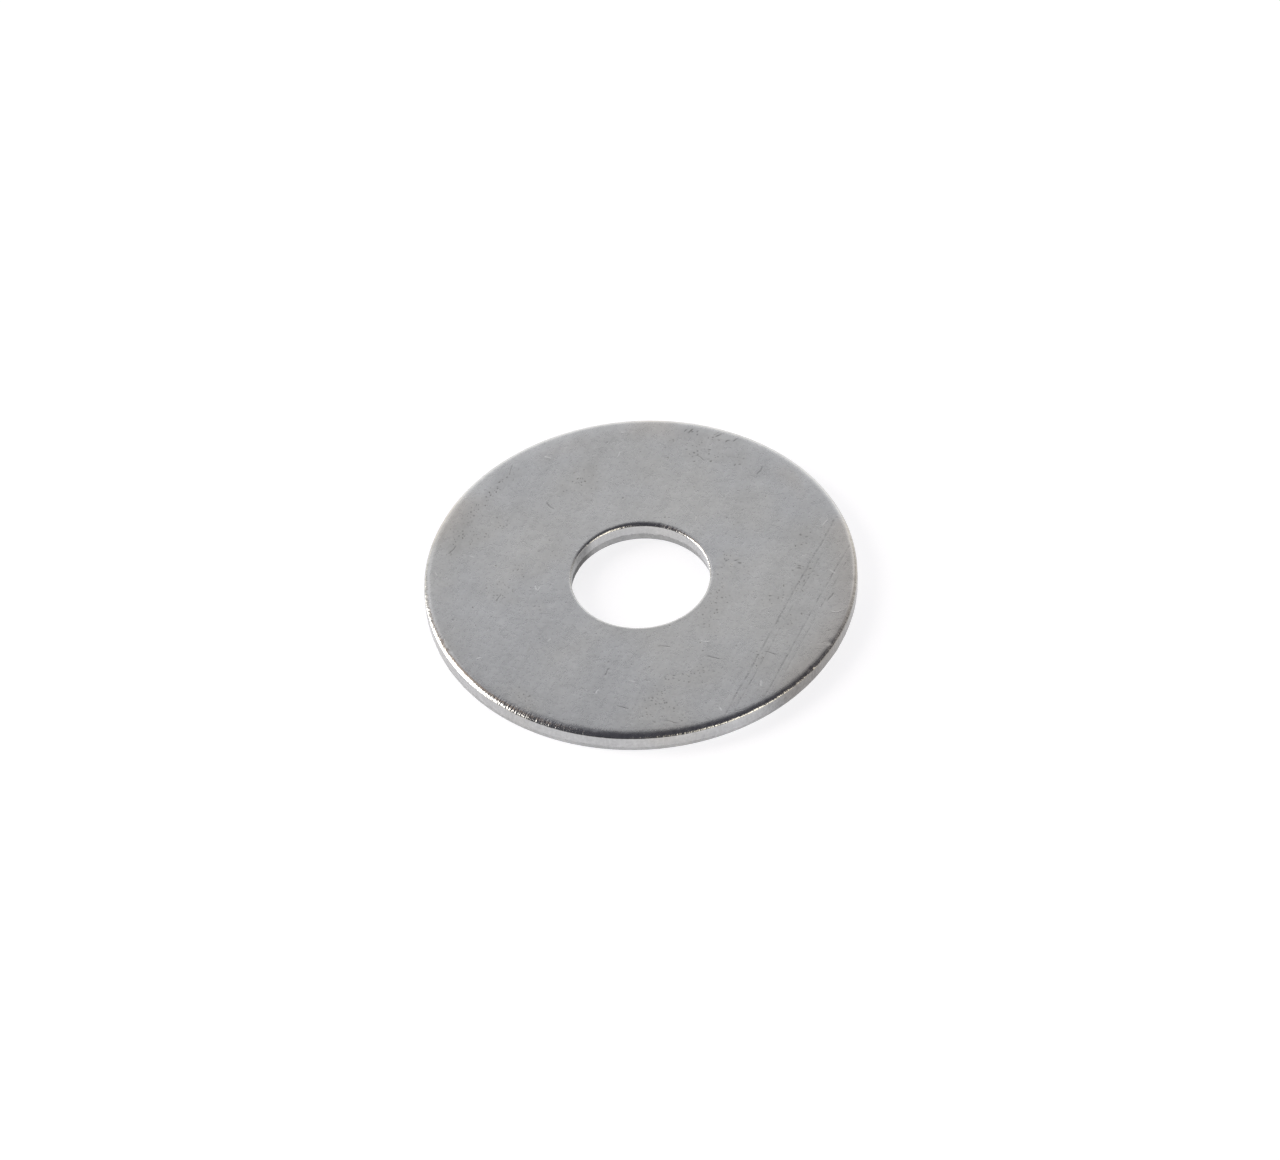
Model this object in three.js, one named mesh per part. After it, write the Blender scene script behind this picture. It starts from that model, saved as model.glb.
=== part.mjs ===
// Wide flat washer for an M6 screw, stamped in one stroke from cold-rolled stainless strip.
// Millimetres, +Z up. The origin is the centre of the lower bearing face.
//
// The washer is one piece of steel. A blanking tool draws the edge of the metal down where it enters, shears it
// smooth, then tears it, so the rim and the hole each show three bands from top to bottom: a soft roll, a smooth
// upright band, and a torn band that leans away a little. Both rolls are on the upper face.

import * as THREE from "three";

const OUTSIDE_DIAMETER = 20;
const HOLE_DIAMETER = 6.4;
const THICKNESS = 1.0;

const RIM_ROLL_WIDTH = 0.48;
const RIM_ROLL_DEPTH = 0.18;
const HOLE_ROLL_WIDTH = 0.27;
const HOLE_ROLL_DEPTH = 0.11;

// The torn bands, up from the lower face, and how far each foot leans into the metal.
const RIM_TORN_HEIGHT = 0.3 * THICKNESS;
const RIM_TORN_LEAN = 0.085;
const HOLE_TORN_HEIGHT = 0.46 * THICKNESS;
const HOLE_TORN_LEAN = 0.04;
const BURR_BREAK = 0.03; // the lower edges are tumbled until their burr is gone

const ROLL_STEPS = 3; // each roll curve is made of twice as many straight steps
const SEGMENTS_AROUND = 120;

const steel = new THREE.MeshStandardMaterial({
  color: new THREE.Color(0.66, 0.66, 0.67),
  roughness: 0.34,
  metalness: 1.0,
});

/** The closed section of the washer, x being the radius and y the height, starting at the foot of the rim. */
function washerSection() {
  const holeRadius = HOLE_DIAMETER / 2;
  const rimRadius = OUTSIDE_DIAMETER / 2;
  const holeFoot = holeRadius + HOLE_TORN_LEAN;
  const rimFoot = rimRadius - RIM_TORN_LEAN;

  const section = new THREE.Path();
  section.moveTo(rimFoot - BURR_BREAK, 0);
  section.lineTo(rimFoot, BURR_BREAK);
  section.lineTo(rimRadius, RIM_TORN_HEIGHT);
  section.absellipse(
    rimRadius - RIM_ROLL_WIDTH,
    THICKNESS - RIM_ROLL_DEPTH,
    RIM_ROLL_WIDTH,
    RIM_ROLL_DEPTH,
    0,
    Math.PI / 2,
  );
  section.absellipse(
    holeRadius + HOLE_ROLL_WIDTH,
    THICKNESS - HOLE_ROLL_DEPTH,
    HOLE_ROLL_WIDTH,
    HOLE_ROLL_DEPTH,
    Math.PI / 2,
    Math.PI,
  );
  section.lineTo(holeRadius, HOLE_TORN_HEIGHT);
  section.lineTo(holeFoot, BURR_BREAK);
  section.lineTo(holeFoot + BURR_BREAK, 0);
  section.closePath();
  return section.getPoints(ROLL_STEPS);
}

/** The section turned once round the vertical axis. */
function makeWasher() {
  const ring = new THREE.LatheGeometry(washerSection(), SEGMENTS_AROUND);
  ring.rotateX(Math.PI / 2);
  const washer = new THREE.Mesh(ring, steel);
  washer.name = "washer";
  return washer;
}

const part = new THREE.Group();
part.add(makeWasher());

export default part;
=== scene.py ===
import math
from types import SimpleNamespace
from typing import NamedTuple

import bpy
import numpy as np
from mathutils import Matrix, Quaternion, Vector, noise


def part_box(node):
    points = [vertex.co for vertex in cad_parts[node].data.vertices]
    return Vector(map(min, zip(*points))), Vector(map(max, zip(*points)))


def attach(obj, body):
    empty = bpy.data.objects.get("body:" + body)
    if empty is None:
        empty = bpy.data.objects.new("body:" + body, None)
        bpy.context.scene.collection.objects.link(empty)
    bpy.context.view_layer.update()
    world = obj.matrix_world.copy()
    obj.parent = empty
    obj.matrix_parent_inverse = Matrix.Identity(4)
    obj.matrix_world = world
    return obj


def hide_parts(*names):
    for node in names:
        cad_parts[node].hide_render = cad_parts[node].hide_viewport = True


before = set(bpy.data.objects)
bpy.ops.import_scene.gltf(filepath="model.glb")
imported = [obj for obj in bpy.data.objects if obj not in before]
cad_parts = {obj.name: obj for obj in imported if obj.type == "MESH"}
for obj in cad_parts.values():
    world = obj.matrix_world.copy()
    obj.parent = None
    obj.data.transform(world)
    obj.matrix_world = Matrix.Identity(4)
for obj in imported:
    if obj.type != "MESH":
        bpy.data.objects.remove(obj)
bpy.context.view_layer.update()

# A wide flat washer of stamped stainless steel, lying alone on a pale floor.

MM = 0.001  # the mesh is worked out in millimetres and written in metres

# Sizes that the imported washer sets, in millimetres.
RIM_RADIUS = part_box("washer")[1].x / MM
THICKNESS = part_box("washer")[1].z / MM
HOLE_RADIUS = min(math.hypot(v.co.x, v.co.y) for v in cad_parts["washer"].data.vertices) / MM

BURR_BREAK = 0.03  # the lower edges are tumbled until their burr is gone
# The upper face is a very shallow dome, and bends down a little more just before the rim's roll.
CROWN = 0.03
LEAD_IN_WIDTH = 0.9
LEAD_IN_DEPTH = 0.022


class Swing(NamedTuple):
    """A size that grows towards one side of the washer, because punch and die never quite line up."""

    least: float
    most: float
    side: float  # the angle where it is most, in degrees from +X
    sharpness: float


class Edge(NamedTuple):
    """A stamped edge, in millimetres: a roll, a smooth sheared band, and a torn band that leans away."""

    radius: float
    side: int  # 1 for the rim, where the metal is inside the radius, and -1 for the hole
    roll_width: Swing
    roll_depth: Swing
    torn_height: float
    torn_lean: Swing
    seed: int


RIM = Edge(
    radius=RIM_RADIUS,
    side=1,
    roll_width=Swing(0.32, 0.55, 256, 4),
    roll_depth=Swing(0.13, 0.215, 212, 14),
    torn_height=0.30,
    torn_lean=Swing(0.04, 0.14, 20, 1),
    seed=10,
)
HOLE = Edge(
    radius=HOLE_RADIUS,
    side=-1,
    roll_width=Swing(0.15, 0.33, 84, 4),
    roll_depth=Swing(0.075, 0.12, 100, 4),
    torn_height=0.46,
    torn_lean=Swing(0.01, 0.07, 0, 1),
    seed=40,
)

# Mesh density: steps round the washer, and rings on each band.
STEPS_AROUND = 840
BREAK_RINGS = 3
TORN_RINGS = 8
SHEARED_RINGS = 8
ROLL_RINGS = 13
UPPER_FACE_RINGS = 28
LOWER_FACE_RINGS = 14

ROLL_SOFTNESS = 0.94  # 1 would make the roll a quarter ellipse; less lets it leave the face more gently

# One knock on the upper edge of the rim.
KNOCK_ANGLE = -41  # degrees from +X
KNOCK_RADIUS = 0.14
KNOCK_DEPTH = 0.035

# The direction that the strip was rolled in, from +X towards +Y.
ROLLING_ANGLE = math.radians(64)

ANGLES = np.linspace(0, 2 * math.pi, STEPS_AROUND, endpoint=False)


def direction(azimuth, elevation):
    """The unit vector towards a point at that azimuth, from +X towards +Y, and that elevation, in degrees."""
    a = math.radians(azimuth)
    e = math.radians(elevation)
    return Vector((math.cos(a) * math.cos(e), math.sin(a) * math.cos(e), math.sin(e)))


# ---------------------------------------------------------------- the section of the washer


def wander(seed, coarsest, finest, fade=1.0):
    """A closed random curve round the washer, from -1 to 1.

    It adds up waves that repeat coarsest to finest times, each weaker than the last by the power fade."""
    rng = np.random.default_rng(seed)
    counts = np.arange(coarsest, finest + 1)[:, None]
    strengths = rng.normal(size=counts.shape) / counts**fade
    phases = rng.uniform(0, 2 * math.pi, counts.shape)
    curve = (strengths * np.cos(counts * ANGLES + phases)).sum(axis=0)
    return curve / np.abs(curve).max()


def around_washer(swing):
    """A Swing's size at every step round the washer."""
    share = (0.5 + 0.5 * np.cos(ANGLES - math.radians(swing.side))) ** swing.sharpness
    return swing.least + (swing.most - swing.least) * share


def ring(radius, height):
    """One ring of the section: its radius and its height at every step round the washer."""
    both = np.empty((2, STEPS_AROUND))
    both[0] = radius
    both[1] = height
    return both


def between(start, end, count):
    """Rings evenly spaced between two others, without those two."""
    return np.linspace(start, end, count + 2)[1:-1]


def uneven_sizes(made):
    """An Edge's roll width, roll depth, tear height and torn lean at every step round the washer."""
    seed = made.seed
    width = around_washer(made.roll_width)
    width *= 1 + 0.05 * wander(seed, 2, 9) + 0.02 * wander(seed + 1, 30, 200, 0.4)
    depth = around_washer(made.roll_depth)
    depth *= 1 + 0.03 * wander(seed + 2, 2, 9) + 0.04 * wander(seed + 3, 30, 200, 0.4)
    slow = wander(seed + 4, 1, 7)
    tear = made.torn_height * (1 + 0.14 * slow + 0.12 * wander(seed + 5, 12, 200, 0.7))
    lean = around_washer(made.torn_lean) * (1 + 0.12 * slow)
    return width, depth, tear, lean


def stamped_edge(made):
    """The rings of an Edge, from the lower face up the wall and over the roll.

    It returns the rings, how far each point is above the tear line, and how much each point belongs to the
    edge: 0 on the faces, 1 on the wall, and between them on the roll."""
    width, depth, tear, lean = uneven_sizes(made)
    under = ring(made.radius - made.side * (lean + BURR_BREAK), 0)
    foot = ring(made.radius - made.side * lean, BURR_BREAK)
    tear_line = ring(made.radius, tear)
    turns = np.linspace(0, math.pi / 2, ROLL_RINGS)
    rolled = []
    for turn in turns:
        inward = width * (1 - math.cos(turn) ** ROLL_SOFTNESS)
        rolled.append(ring(made.radius - made.side * inward, THICKNESS - depth * (1 - math.sin(turn))))
    rings = np.array([
        under,
        *between(under, foot, BREAK_RINGS),
        foot,
        *between(foot, tear_line, TORN_RINGS),
        tear_line,
        *between(tear_line, rolled[0], SHEARED_RINGS),
        *rolled,
    ])
    above_tear = rings[:, 1] - tear
    above_tear[0] = THICKNESS
    edge = np.ones_like(above_tear)
    edge[-ROLL_RINGS:] = np.cos(turns)[:, None]
    edge[0] = 0
    return rings, above_tear, edge


def washer_rings():
    """All rings of the closed section: up the rim, inwards over the top, down the hole and out underneath.

    The result has four layers: radius, height, height above the tear line, and share of edge."""
    layers = []
    for made in (RIM, HOLE):
        rings, above_tear, edge = stamped_edge(made)
        layers.append(np.stack([rings[:, 0], rings[:, 1], above_tear, edge], axis=1))
    rim = layers[0]
    hole = layers[1][::-1]
    return np.concatenate([
        rim,
        between(rim[-1], hole[0], UPPER_FACE_RINGS),
        hole,
        between(hole[-1], rim[0], LOWER_FACE_RINGS),
    ])


# ---------------------------------------------------------------- the washer's surface


def noise_at(points, size, seed):
    """Smooth noise from -1 to 1 at each point, with bumps about size millimetres across."""
    offset = Vector((seed * 7.3, seed * 3.1, seed * 5.7))
    flat = points.reshape(-1, 3)
    values = [noise.noise(Vector(p) / size + offset) for p in flat]
    return np.array(values).reshape(points.shape[:-1])


def outward(points):
    """The unit normal at each point of the grid, which closes on itself both ways."""
    along_section = np.roll(points, -1, axis=0) - np.roll(points, 1, axis=0)
    around = np.roll(points, -1, axis=1) - np.roll(points, 1, axis=1)
    normal = np.cross(around, along_section)
    return normal / np.linalg.norm(normal, axis=-1, keepdims=True)


class Dents(NamedTuple):
    """Small round hollows from tumbling, at random places in a band. Each pair is a least and a most."""

    seed: int
    count: int
    sizes: tuple
    depths: tuple
    radii: tuple
    heights: tuple


FACE_RADII = (HOLE_RADIUS + 0.4, RIM_RADIUS - 0.6)
DENTS = (
    Dents(81, 36, (0.12, 0.40), (0.002, 0.007), FACE_RADII, (THICKNESS, THICKNESS)),
    Dents(82, 30, (0.12, 0.40), (0.002, 0.007), FACE_RADII, (0, 0)),
    Dents(83, 60, (0.08, 0.22), (0.004, 0.016), (RIM_RADIUS - 0.25, RIM_RADIUS), (0.3, THICKNESS)),
    Dents(84, 14, (0.08, 0.16), (0.003, 0.010), (HOLE_RADIUS, HOLE_RADIUS + 0.15), (0.4, THICKNESS)),
)


def dent_depth(points, dents):
    """How deep one band's Dents are at each point."""
    rng = np.random.default_rng(dents.seed)
    depth_here = np.zeros(points.shape[:-1])
    for _ in range(dents.count):
        angle = rng.uniform(0, 2 * math.pi)
        radius = rng.uniform(*dents.radii)
        height = rng.uniform(*dents.heights)
        centre = np.array([radius * math.cos(angle), radius * math.sin(angle), height])
        size = rng.uniform(*dents.sizes)
        depth = rng.uniform(*dents.depths)
        distance = np.linalg.norm(points - centre, axis=-1) / size
        depth_here = np.maximum(depth_here, depth * np.exp(-distance**2))
    return depth_here


def crowned(points):
    """The heights of the points once the upper face has been domed."""
    radius = np.hypot(points[..., 0], points[..., 1])
    lead_in = np.clip(1 - (RIM_RADIUS - radius) / LEAD_IN_WIDTH, 0, 1)
    drop = CROWN * (radius / RIM_RADIUS) ** 2 + LEAD_IN_DEPTH * lead_in**2
    return points[..., 2] * (1 - drop / THICKNESS)


def swell(points, size, seed):
    """Smooth noise from 0 to 2 at each point."""
    return 1 + noise_at(points, size, seed)


def unevenness(points, above_tear, edge):
    """How far the rolling, the tumbling and the tearing leave each point below the ideal surface.

    Each line adds a zone times a depth in millimetres times noise."""
    face = 1 - np.clip(edge * 1.6, 0, 1)
    torn = np.clip(-above_tear / 0.03, 0, 1)
    smooth_edge = np.clip(edge, 0, 1) * (1 - torn)
    sheared = np.clip(edge - 0.2, 0, 1) * (1 - torn)
    depth = face * 0.0035 * swell(points, 3.2, 1)
    depth += face * 0.0012 * swell(points, 0.9, 2)
    depth += smooth_edge * 0.003 * swell(points, 0.45, 3)
    depth += sheared * 0.002 * (1 + wander(70, 60, 400, 0.2))
    depth += torn * 0.010 * swell(points, 0.16, 4)
    depth += torn * 0.012 * swell(points * np.array([1, 1, 0.5]), 0.40, 5)
    return depth


def damage(points):
    """How deep the tumbling dents and the knock are at each point."""
    knock = np.array(direction(KNOCK_ANGLE, 0)) * RIM_RADIUS + np.array([0, 0, THICKNESS])
    from_knock = np.linalg.norm(points - knock, axis=-1) / KNOCK_RADIUS
    depth = KNOCK_DEPTH * np.exp(-from_knock**2)
    for dents in DENTS:
        depth += dent_depth(points, dents)
    return depth


def closed_grid(ring_count):
    """The quads between neighbouring points of a grid that closes on itself both ways."""
    index = np.arange(ring_count * STEPS_AROUND).reshape(ring_count, STEPS_AROUND)
    next_ring = np.roll(index, -1, axis=0)
    corners = [index, np.roll(index, -1, axis=1), np.roll(next_ring, -1, axis=1), next_ring]
    return np.stack(corners, axis=-1).reshape(-1, 4)


def make_washer():
    layers = washer_rings()
    radius, height, above_tear, edge = (layers[:, i] for i in range(4))
    points = np.stack([radius * np.cos(ANGLES), radius * np.sin(ANGLES), height], axis=-1)
    points[..., 2] = crowned(points)
    depth = unevenness(points, above_tear, edge) + damage(points)
    points -= outward(points) * depth[..., None]
    points[..., 2] = np.clip(points[..., 2], 0, THICKNESS)

    mesh = bpy.data.meshes.new("stamped_washer")
    mesh.from_pydata((points * MM).reshape(-1, 3), [], closed_grid(len(points)))
    for name, values in (("above_tear", above_tear), ("edge", edge)):
        layer = mesh.attributes.new(name, "FLOAT", "POINT")
        layer.data.foreach_set("value", values.astype(np.float32).ravel())
    mesh.shade_smooth()
    washer = bpy.data.objects.new("stamped_washer", mesh)
    bpy.context.scene.collection.objects.link(washer)
    return washer


# ---------------------------------------------------------------- materials


# The sides of the washer, in degrees from +X, where the scoring of the walls runs up onto the roll.
RAGGED_SIDES = (58, 190, 236)
# The side of each wall, in degrees from +X, that is painted darker: painted shade for the floor in the key
# light's shadow that the wall mirrors there.
RIM_SHADED_SIDE = -33
HOLE_SHADED_SIDE = 159
# Arcs where the upper face is rubbed: the angle of the middle from +X and the reach to each side, in degrees,
# and the radius in millimetres.
WORN_ARCS = (
    (147, 26, 8.9),
    (66, 12, 9.35),
)
# The lines that the mill's rolls left: place across the strip, width in millimetres, and the share worn away.
ROLLING_LINES = (
    (-7.00, 0.11, 0.42),
    (-7.30, 0.08, 0.48),
    (-8.25, 0.09, 0.45),
    (-8.55, 0.07, 0.50),
)

COOL_STEEL = (0.622, 0.625, 0.634)
WARM_STEEL = (0.632, 0.628, 0.620)
STAINED_STEEL = (0.60, 0.555, 0.51)


class Shader:
    """Short calls for the nodes of one material or world. Each returns the new node's output."""

    def __init__(self, owner):
        owner.use_nodes = True
        self.tree = owner.node_tree
        self.tree.nodes.clear()

    def add(self, kind, inputs=None, **settings):
        node = self.tree.nodes.new(kind)
        for name, value in settings.items():
            setattr(node, name, value)
        for key, value in (inputs or {}).items():
            if isinstance(value, bpy.types.NodeSocket):
                self.tree.links.new(value, node.inputs[key])
            else:
                node.inputs[key].default_value = value
        return node

    def math(self, operation, a, b=0.0, c=0.0):
        return self.add("ShaderNodeMath", {0: a, 1: b, 2: c}, operation=operation).outputs[0]

    def vector(self, operation, a, b=(0, 0, 0), c=(0, 0, 0)):
        made = self.add("ShaderNodeVectorMath", {0: a, 1: b, 2: c}, operation=operation)
        return made.outputs["Value"] if operation in ("DOT_PRODUCT", "LENGTH") else made.outputs[0]

    def scaled(self, vector, factor):
        return self.add("ShaderNodeVectorMath", {0: vector, "Scale": factor}, operation="SCALE").outputs[0]

    def step(self, value, low, high, at_low=0.0, at_high=1.0):
        """A soft step from at_low to at_high as value goes from low to high."""
        inputs = {"Value": value, "From Min": low, "From Max": high, "To Min": at_low, "To Max": at_high}
        return self.add("ShaderNodeMapRange", inputs, interpolation_type="SMOOTHSTEP").outputs["Result"]

    def noise(self, vector, scale, detail=2.0, roughness=0.5, distortion=0.0):
        inputs = {
            "Vector": vector,
            "Scale": scale,
            "Detail": detail,
            "Roughness": roughness,
            "Distortion": distortion,
        }
        return self.add("ShaderNodeTexNoise", inputs).outputs["Fac"]

    def centred(self, *noise_settings):
        """Noise from about -0.5 to 0.5."""
        return self.math("SUBTRACT", self.noise(*noise_settings), 0.5)

    def colour(self, factor, a, b):
        made = self.add("ShaderNodeMix", {"Factor": factor}, data_type="RGBA")
        for socket, value in ((made.inputs[6], a), (made.inputs[7], b)):
            if isinstance(value, bpy.types.NodeSocket):
                self.tree.links.new(value, socket)
            else:
                socket.default_value = (*value, 1)
        return made.outputs[2]

    def weighted(self, *terms):
        """The sum of weight times value over the (weight, value) terms."""
        total = 0.0
        for weight, value in terms:
            total = self.math("MULTIPLY_ADD", value, weight, total)
        return total

    def product(self, *values):
        total = values[0]
        for value in values[1:]:
            total = self.math("MULTIPLY", total, value)
        return total

    def less(self, value):
        """One minus value."""
        return self.math("SUBTRACT", 1.0, value)

    def cells(self, vector, per_mm):
        """Random flat cells: the distance to the cell's centre, that centre, and three random values."""
        inputs = {"Vector": vector, "Scale": per_mm}
        made = self.add("ShaderNodeTexVoronoi", inputs, voronoi_dimensions="2D")
        chances = self.add("ShaderNodeSeparateColor", {0: made.outputs["Color"]}).outputs
        return self.math("DIVIDE", made.outputs["Distance"], per_mm), made.outputs["Position"], chances

    def specks(self, vector, per_mm, radius, share):
        """Round specks of up to that radius, in that share of the cells."""
        distance, _, chances = self.cells(vector, per_mm)
        size = self.math("MULTIPLY_ADD", chances[1], 0.6 * radius, 0.4 * radius)
        speck = self.step(self.math("DIVIDE", distance, size), 0.4, 1.0, 1.0, 0.0)
        return self.product(speck, self.math("LESS_THAN", chances[0], share))

    def hairlines(self, vector, per_mm, length, width, share):
        """Short straight scratches that point every way, in that share of the cells."""
        _, centre, chances = self.cells(vector, per_mm)
        turn = self.math("MULTIPLY", chances[2], 2 * math.pi)
        inputs = {"Vector": self.vector("SUBTRACT", vector, centre), "Angle": turn}
        turned = self.add("ShaderNodeVectorRotate", inputs, rotation_type="Z_AXIS").outputs[0]
        x, y, _ = self.add("ShaderNodeSeparateXYZ", {0: turned}).outputs
        ends = self.step(self.math("ABSOLUTE", x), 0.25 * length, 0.5 * length, 1.0, 0.0)
        sides = self.step(self.math("ABSOLUTE", y), 0.2 * width, 0.5 * width, 1.0, 0.0)
        return self.product(ends, sides, self.math("LESS_THAN", chances[0], share))


class Place:
    """Where a point is on the washer: the coordinates, in millimetres, and the zones that the marks read."""

    def __init__(self, s):
        self.here = s.scaled(s.add("ShaderNodeTexCoord").outputs["Object"], 1 / MM)
        self.height = s.add("ShaderNodeSeparateXYZ", {0: self.here}).outputs[2]
        flat = s.vector("MULTIPLY", self.here, (1, 1, 0))
        self.radius = s.vector("LENGTH", flat)
        self.outward = s.vector("NORMALIZE", flat)
        self.at_rim = s.math("GREATER_THAN", self.radius, (RIM_RADIUS + HOLE_RADIUS) / 2)
        self.at_hole = s.less(self.at_rim)
        self.find_coordinates(s)
        self.find_zones(s)

    def find_coordinates(self, s):
        """The coordinates of the marks that bend, that follow the rolling, and that run round an edge."""
        bend = s.add("ShaderNodeTexNoise", {"Vector": self.here, "Scale": 1.2}).outputs["Color"]
        self.bent = s.vector("ADD", self.here, s.scaled(s.vector("SUBTRACT", bend, (0.5, 0.5, 0.5)), 0.5))
        # Height moves flat patterns sideways, so that the two faces get different marks.
        sideways = s.add("ShaderNodeCombineXYZ", {0: self.height, 1: self.height}).outputs[0]
        self.marks = s.vector("MULTIPLY_ADD", sideways, (31, 17, 0), self.bent)
        inputs = {"Vector": self.here, "Angle": -ROLLING_ANGLE}
        self.rolled = s.add("ShaderNodeVectorRotate", inputs, rotation_type="Z_AXIS").outputs[0]
        # Noise read here changes round the edge and only slowly down it.
        circle = s.math("MULTIPLY_ADD", self.at_rim, RIM_RADIUS - HOLE_RADIUS, HOLE_RADIUS)
        drawn = s.add("ShaderNodeCombineXYZ", {2: s.math("MULTIPLY", self.height, 0.15)}).outputs[0]
        self.around = s.vector("ADD", s.scaled(self.outward, circle), drawn)

    def find_zones(self, s):
        """The zones of the washer: each is 1 inside, 0 outside, and soft between."""
        edge = s.add("ShaderNodeAttribute", attribute_name="edge").outputs["Fac"]
        above_tear = s.add("ShaderNodeAttribute", attribute_name="above_tear").outputs["Fac"]
        self.face = s.step(edge, 0.05, 0.55, 1.0, 0.0)
        self.upper_face = s.math("MULTIPLY", self.face, s.math("GREATER_THAN", self.height, THICKNESS / 2))
        ragged = 0.0
        for side in RAGGED_SIDES:
            ragged = s.math("MAXIMUM", ragged, s.step(self.towards(s, side), 0.95, 0.985))
        self.scored = s.step(s.math("MULTIPLY_ADD", ragged, 0.35, edge), 0.50, 0.95)
        self.wall = s.step(edge, 0.85, 0.99)
        self.hole_wall = s.math("MULTIPLY", self.wall, self.at_hole)
        # Painted shade: each wall's colour is darkened towards one side, where it mirrors the floor in the
        # key light's shadow, more strongly in the hole.
        shaded_rim_side = s.product(self.towards(s, RIM_SHADED_SIDE), self.at_rim)
        shaded_hole_side = s.product(self.towards(s, HOLE_SHADED_SIDE), self.at_hole)
        shaded_side = s.step(s.math("MAXIMUM", shaded_rim_side, shaded_hole_side), 0.85, 0.97)
        shade_strength = s.math("MULTIPLY_ADD", self.at_hole, 0.6, 1.0)
        self.painted_shade_wall = s.product(self.wall, shade_strength, shaded_side)
        tear = s.math("MULTIPLY_ADD", s.centred(self.around, 3.0, 4, 0.7), 0.12, above_tear)
        self.torn = s.product(self.wall, s.step(tear, -0.012, 0.012, 1.0, 0.0))

    def towards(self, s, side):
        """The cosine of the angle between a point and that side of the washer, in degrees from +X."""
        return s.vector("DOT_PRODUCT", self.outward, direction(side, 0))


def worn_areas(s, place):
    """Darker, more pitted areas: scattered clouds on both faces, and the arcs of rubbing on the upper one."""
    clouds = s.step(s.noise(place.here, 0.42, 4, 0.7), 0.55, 0.68)
    worn = s.product(clouds, place.face)
    broken = s.step(s.noise(place.bent, 1.1, 3, 0.7), 0.32, 0.50)
    for angle, reach, radius in WORN_ARCS:
        ends = (math.cos(math.radians(reach)), math.cos(math.radians(0.6 * reach)))
        along = s.step(place.towards(s, angle), *ends)
        off_arc = s.math("ABSOLUTE", s.math("SUBTRACT", place.radius, radius))
        across = s.step(off_arc, 0.10, 0.45, 1.0, 0.0)
        worn = s.math("MAXIMUM", worn, s.product(along, across, broken, place.upper_face))
    return worn


def rolling_lines(s, place):
    """Two pairs of long fine lines that the mill's rolls left on the upper face, worn away in places."""
    x, y, _ = s.add("ShaderNodeSeparateXYZ", {0: place.rolled}).outputs
    along = s.add("ShaderNodeCombineXYZ", {0: s.math("MULTIPLY", x, 0.5)}).outputs[0]
    wavy = s.math("MULTIPLY_ADD", s.centred(along, 0.6), 0.25, y)
    chain = s.step(s.noise(place.here, 4.5, 2, 0.7), 0.36, 0.60, 0.25, 1.0)
    lines = 0.0
    for offset, width, worn in ROLLING_LINES:
        away = s.math("ABSOLUTE", s.math("SUBTRACT", wavy, offset))
        line = s.step(away, 0.2 * width, 0.6 * width, 1.0, 0.0)
        kept = s.step(s.noise(s.vector("ADD", along, (0, offset, 0)), 1.3, 3, 0.7), worn - 0.06, worn + 0.06)
        lines = s.math("MAXIMUM", lines, s.product(line, kept))
    return s.product(lines, chain, place.upper_face)


def fibres(s, place):
    """Short curly marks, finer than a hair, that the tumbling media leave all over."""
    level = s.noise(place.here, 2.6, 2, 0.6, 0.4)
    ridge = s.step(s.math("ABSOLUTE", s.math("SUBTRACT", level, 0.5)), 0.004, 0.022, 1.0, 0.0)
    return s.product(place.face, ridge, s.step(s.noise(place.here, 2.0, 1), 0.48, 0.60))


def stains(s, place):
    """Where the steel near the rim is faintly stained."""
    near_rim = s.step(place.radius, 8.2, 9.9)
    patches = s.step(s.noise(place.here, 0.16, 1), 0.50, 0.62)
    return s.product(near_rim, patches)


def steel_marks(s, place):
    """All the marks and textures of the steel.

    The noises run from about -0.5 to 0.5, and the shapes from 0 to 1."""
    worn = worn_areas(s, place)
    pitted = s.math("MULTIPLY_ADD", worn, 0.60, 0.11)
    dusty = s.math("MULTIPLY_ADD", worn, 0.70, 0.03)
    along_strip = s.vector("MULTIPLY", place.rolled, (0.12, 3.2, 1.0))
    elsewhere = s.vector("ADD", place.marks, (5, 9, 0))
    return SimpleNamespace(
        worn=worn,
        clouds=s.centred(place.here, 0.30, 2, 1.0),
        grain=s.centred(place.here, 3.3, 2, 1.0, 0.4),
        streaks=s.product(place.face, s.centred(along_strip, 1.0, 3, 0.8)),
        lines=rolling_lines(s, place),
        curls=fibres(s, place),
        pits=s.product(place.face, s.specks(place.marks, 1.6, 0.060, pitted)),
        dust=s.product(place.face, s.specks(place.marks, 5.0, 0.070, dusty)),
        scratches=s.product(place.face, s.hairlines(place.marks, 0.42, 0.75, 0.085, 0.30)),
        nicks_with_painted_glint=s.product(place.face, s.hairlines(elsewhere, 0.55, 0.40, 0.08, 0.18)),
        scoring=s.product(place.scored, s.centred(place.around, 9.0, 2, 0.8)),
        chips=s.product(place.scored, s.centred(place.here, 7.0, 1, 0.7)),
        torn_grain=s.product(place.torn, s.centred(place.here, 7.0, 4, 0.75)),
    )


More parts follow.
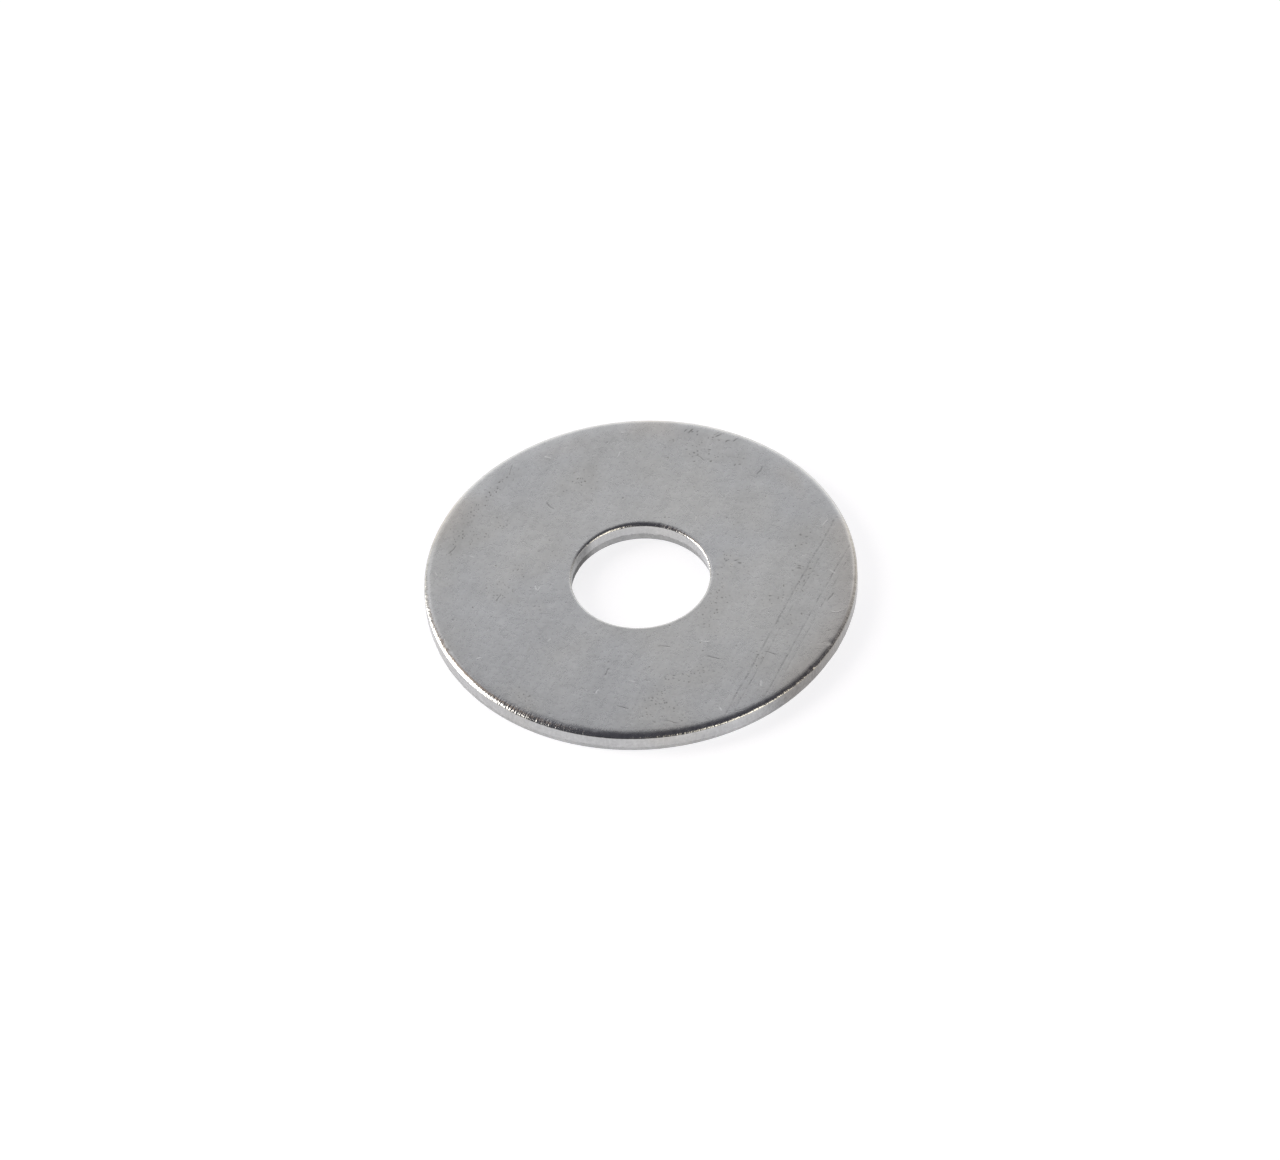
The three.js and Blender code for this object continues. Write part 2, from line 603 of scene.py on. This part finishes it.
def steel_colour(s, place, marks):
    """The steel's tint, patch by patch, times how light or dark each mark and zone makes it."""
    tone = s.weighted(
        (1.0, 1.0),
        (0.28, marks.clouds),
        (0.34, marks.grain),
        (0.17, marks.streaks),
        (0.18, marks.scoring),
        (0.30, marks.torn_grain),
        (-0.025, marks.worn),
        (-0.22, marks.lines),
        (-0.06, marks.curls),
        (-0.44, marks.pits),
        (-0.10, marks.dust),
        (-0.28, s.product(marks.dust, marks.worn)),
        (-0.30, marks.scratches),
        # Nicks are real marks in the relief, and are also painted lighter: a painted highlight where their
        # raised edges catch the key light.
        (0.25, marks.nicks_with_painted_glint),
        (-0.035, s.product(place.face, s.step(place.radius, 5.5, 8.8))),
        (-0.23, place.wall),
        (0.06, place.hole_wall),
        (-0.12, s.product(place.hole_wall, place.torn)),
        # painted shade on one side of each wall
        (-0.31, place.painted_shade_wall),
        (-0.06, place.torn),
    )
    tint = s.colour(s.step(s.noise(place.here, 0.20, 2), 0.35, 0.65), COOL_STEEL, WARM_STEEL)
    stained = s.math("MULTIPLY", stains(s, place), 0.5)
    return s.scaled(s.colour(stained, tint, STAINED_STEEL), tone)


def steel_roughness(s, place, marks):
    return s.weighted(
        (0.21, 1.0),
        (0.08, place.face),
        (0.20, marks.grain),
        (0.06, marks.worn),
        (0.15, marks.pits),
        (0.24, place.torn),
    )


def steel_relief(s, place, marks):
    """The normal of the fine relief, whose weights are heights in millimetres."""
    height = s.weighted(
        (0.0045, s.product(place.face, marks.grain)),
        (0.0015, marks.streaks),
        (0.0180, marks.scoring),
        (0.0140, marks.chips),
        (0.0400, marks.torn_grain),
        (-0.0007, marks.curls),
        (-0.0060, marks.pits),
        (-0.0030, marks.dust),
        (-0.0040, marks.scratches),
        (-0.0030, marks.lines),
        (0.0030, marks.nicks_with_painted_glint),
    )
    return s.add("ShaderNodeBump", {"Height": height, "Distance": MM}).outputs[0]


def steel_material():
    """Mill-finish stainless steel, stamped and tumbled."""
    material = bpy.data.materials.new("stamped_stainless")
    s = Shader(material)
    place = Place(s)
    marks = steel_marks(s, place)
    inputs = {
        "Base Color": steel_colour(s, place, marks),
        "Metallic": 1.0,
        "Roughness": steel_roughness(s, place, marks),
        "Normal": steel_relief(s, place, marks),
    }
    principled = s.add("ShaderNodeBsdfPrincipled", inputs)
    s.add("ShaderNodeOutputMaterial", {"Surface": principled.outputs[0]})
    return material


def floor_material():
    """A pale matt ground, lit partly from below, as a light table is."""
    material = bpy.data.materials.new("pale_floor")
    s = Shader(material)
    principled = s.add(
        "ShaderNodeBsdfPrincipled",
        {
            "Base Color": (0.41, 0.41, 0.43, 1),
            "Roughness": 1.0,
            "Specular IOR Level": 0.0,
            "Emission Color": (0.98, 0.98, 1.0, 1),
            "Emission Strength": 0.765,
        },
    )
    s.add("ShaderNodeOutputMaterial", {"Surface": principled.outputs[0]})
    return material


# ---------------------------------------------------------------- studio


def make_floor():
    half = 1.6  # metres
    mesh = bpy.data.meshes.new("floor")
    corners = [(-half, -half, 0), (half, -half, 0), (half, half, 0), (-half, half, 0)]
    mesh.from_pydata(corners, [], [(0, 1, 2, 3)])
    floor = bpy.data.objects.new("floor", mesh)
    floor.location.z = -0.01 * MM  # just clear of the washer
    floor.data.materials.append(floor_material())
    bpy.context.scene.collection.objects.link(floor)


class Panel(NamedTuple):
    """A soft-edged light panel far from the washer. Its angles are in degrees."""

    azimuth: float
    half_width: float
    elevation: float
    half_height: float
    side_fade: float
    end_fade: float
    colour: tuple


PANELS = (
    Panel(167, 17, 19, 27, 10, 12, (6.8, 6.5, 6.0)),  # the key light, to the left
    Panel(93, 35, 31, 21, 14, 30, (0.76, 0.765, 0.765)),  # behind the washer
    Panel(118, 12, 54, 12, 12, 14, (0.27, 0.27, 0.28)),  # dim, between those two
    Panel(141, 7, 50, 12, 8, 12, (0.60, 0.44, 0.31)),  # a warm strip beside the key light
    Panel(48, 16, 32, 16, 10, 10, (0.44, 0.42, 0.39)),  # behind on the right
    Panel(-36, 18, 46, 20, 8, 10, (2.5, 2.33, 1.95)),  # high and warm, in front on the right
    Panel(-10, 20, 18, 16, 12, 12, (0.34, 0.33, 0.33)),  # dim, on the right
)
CEILING = (0.062, 0.062, 0.076)
HORIZON = (1.0, 0.98, 0.91)


def panel_light(s, towards, elevation, panel):
    """The panel's colour in each direction, falling to black over its soft edges."""
    level = s.vector("NORMALIZE", s.vector("MULTIPLY", towards, (1, 1, 0)))
    sideways = s.math("ARCCOSINE", s.vector("DOT_PRODUCT", level, direction(panel.azimuth, 0)))
    upwards = s.math("ABSOLUTE", s.math("SUBTRACT", elevation, math.radians(panel.elevation)))
    inside = 1.0
    for off_centre, half, fade in (
        (sideways, panel.half_width, panel.side_fade),
        (upwards, panel.half_height, panel.end_fade),
    ):
        edges = (math.radians(half - fade / 2), math.radians(half + fade / 2))
        inside = s.math("MULTIPLY", s.step(off_centre, *edges, 1.0, 0.0), inside)
    colour = s.add("ShaderNodeCombineXYZ", dict(enumerate(panel.colour))).outputs[0]
    return s.scaled(colour, inside)


def make_studio():
    """A white horizon under a dark ceiling, and the panels."""
    world = bpy.data.worlds.new("studio")
    bpy.context.scene.world = world
    s = Shader(world)
    towards = s.add("ShaderNodeTexCoord").outputs["Generated"]
    elevation = s.math("ARCSINE", s.add("ShaderNodeSeparateXYZ", {0: towards}).outputs[2])
    light = s.colour(s.step(elevation, math.radians(4), math.radians(30)), HORIZON, CEILING)
    for panel in PANELS:
        light = s.vector("ADD", light, panel_light(s, towards, elevation, panel))
    background = s.add("ShaderNodeBackground", {"Color": light, "Strength": 1.0})
    s.add("ShaderNodeOutputWorld", {"Surface": background.outputs[0]})


CAMERA_TARGET = Vector((-0.035, 0, 0.72)) * MM
CAMERA_DISTANCE = 600 * MM
# Where the camera stands as seen from the target, and how it is rolled, in degrees.
CAMERA_AZIMUTH = -90
CAMERA_ELEVATION = 47.1
CAMERA_ROLL = -4.1
WASHER_SHARE_OF_WIDTH = 0.3392  # how much of the picture's width the washer takes up


def make_camera():
    """From the front and 47 degrees up, with a long lens and a slight roll."""
    data = bpy.data.cameras.new("camera")
    data.lens = data.sensor_width * CAMERA_DISTANCE * WASHER_SHARE_OF_WIDTH / (2 * RIM_RADIUS * MM)
    camera = bpy.data.objects.new("camera", data)
    towards_camera = direction(CAMERA_AZIMUTH, CAMERA_ELEVATION)
    camera.location = CAMERA_TARGET + towards_camera * CAMERA_DISTANCE
    camera.rotation_mode = "QUATERNION"
    level = towards_camera.to_track_quat("Z", "Y")
    camera.rotation_quaternion = level @ Quaternion((0, 0, 1), math.radians(CAMERA_ROLL))
    data.clip_start = 10 * MM
    data.clip_end = 4.0
    bpy.context.scene.collection.objects.link(camera)
    bpy.context.scene.camera = camera


washer = make_washer()
washer.data.materials.append(steel_material())
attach(washer, "root")
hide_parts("washer")

make_floor()
make_studio()
make_camera()
bpy.context.scene.view_settings.view_transform = "Standard"
